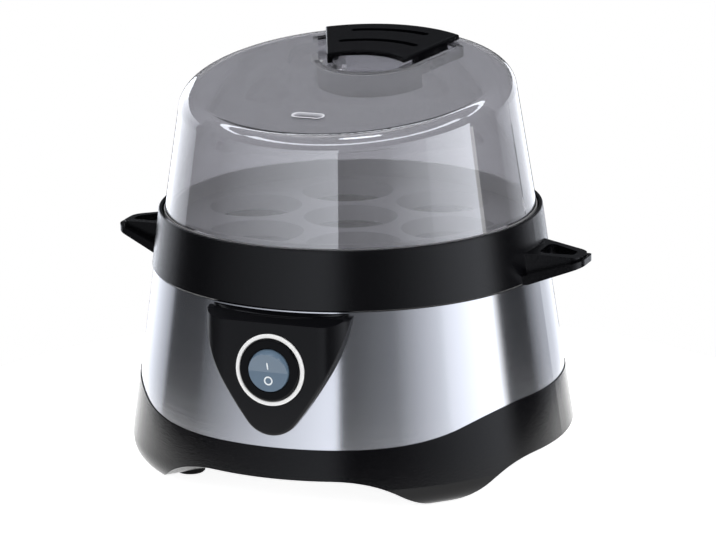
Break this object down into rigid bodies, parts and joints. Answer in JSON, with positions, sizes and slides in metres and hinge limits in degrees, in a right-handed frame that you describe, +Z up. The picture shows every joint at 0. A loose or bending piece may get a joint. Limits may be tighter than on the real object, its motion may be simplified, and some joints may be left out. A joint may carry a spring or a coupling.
{
  "type": "electric egg boiler",
  "caption": "Countertop electric egg boiler: steel body on a black foot skirt, rocker switch, ring with loop handles, egg rack and smoke-clear lid with a recessed grip.",
  "frame": {"origin": "on the upright axis at the level of the worktop", "axes": "+Z up, the control panel faces -Y, the loop handles lie along X"},
  "size_m": [0.2066, 0.1863, 0.1705],
  "materials": {
    "lid_smoke": "clear smoke-grey moulded plastic, polished",
    "rack_smoke": "translucent light smoke plastic",
    "black_plastic": "fine-grained black moulding",
    "panel_black": "matte black moulding",
    "sleeve_steel": "stainless, brushed round the body",
    "pan_steel": "stainless, satin",
    "bright_trim": "bright ring",
    "rocker_grey": "translucent blue-grey moulding",
    "black_rubber": "soft black rubber",
    "white_silicone": "silicone seal",
    "cast_aluminium": "cast, unpolished",
    "plain_steel": "zinc-plated steel",
    "terminal_brass": "plain brass",
    "block_nylon": "natural nylon",
    "fuse_ceramic": "glazed white",
    "brown_wire": "wire cover",
    "blue_wire": "wire cover",
    "earth_wire": "wire cover"
  },
  "bodies": {
    "base": {"foot_skirt": "black_plastic", "rubber_feet": "black_rubber", "main_screws": "plain_steel", "bottom_cover": "black_plastic", "cover_screws": "plain_steel", "steel_sleeve": "sleeve_steel", "control_panel": "panel_black", "panel_screws": "plain_steel", "switch_trim_ring": "bright_trim", "switch_housing": "black_plastic", "switch_terminals": "terminal_brass", "top_collar": "black_plastic", "boiling_pan": "pan_steel", "pan_gasket": "white_silicone", "heating_element": "plain_steel", "element_terminals": "plain_steel", "heater_plate": "cast_aluminium", "heater_studs": "plain_steel", "heater_nuts": "plain_steel", "heat_shield": "plain_steel", "thermostat": "fuse_ceramic", "thermostat_bracket": "plain_steel", "thermostat_screws": "plain_steel", "thermal_fuse": "fuse_ceramic", "cord_gland": "black_rubber", "terminal_block": "block_nylon", "terminal_screws": "terminal_brass", "live_wire": "brown_wire", "neutral_wire": "blue_wire", "earth_wire": "earth_wire", "switched_wire": "brown_wire"},
    "carrier": {"carrier_ring": "black_plastic"},
    "rack": {"egg_rack": "rack_smoke"},
    "lid": {"lid": "lid_smoke", "lid_handle": "black_plastic", "lid_handle_screws": "plain_steel"},
    "rocker": {"rocker": "rocker_grey"}
  },
  "joints": [
    {"name": "carrier_lift", "type": "slide", "parent": "base", "child": "carrier", "axis": [0, 0, 1], "range_m": [0, 0.06]},
    {"name": "rack_lift", "type": "slide", "parent": "carrier", "child": "rack", "axis": [0, 0, 1], "range_m": [0, 0.06]},
    {"name": "lid_lift", "type": "slide", "parent": "rack", "child": "lid", "axis": [0, 0, 1], "range_m": [0, 0.1]},
    {"name": "rocker_hinge", "type": "hinge", "parent": "base", "child": "rocker", "pos_m": [0, -0.08907, 0.05868], "axis": [1, 0, 0], "range_deg": [-20, 0]}
  ]
}
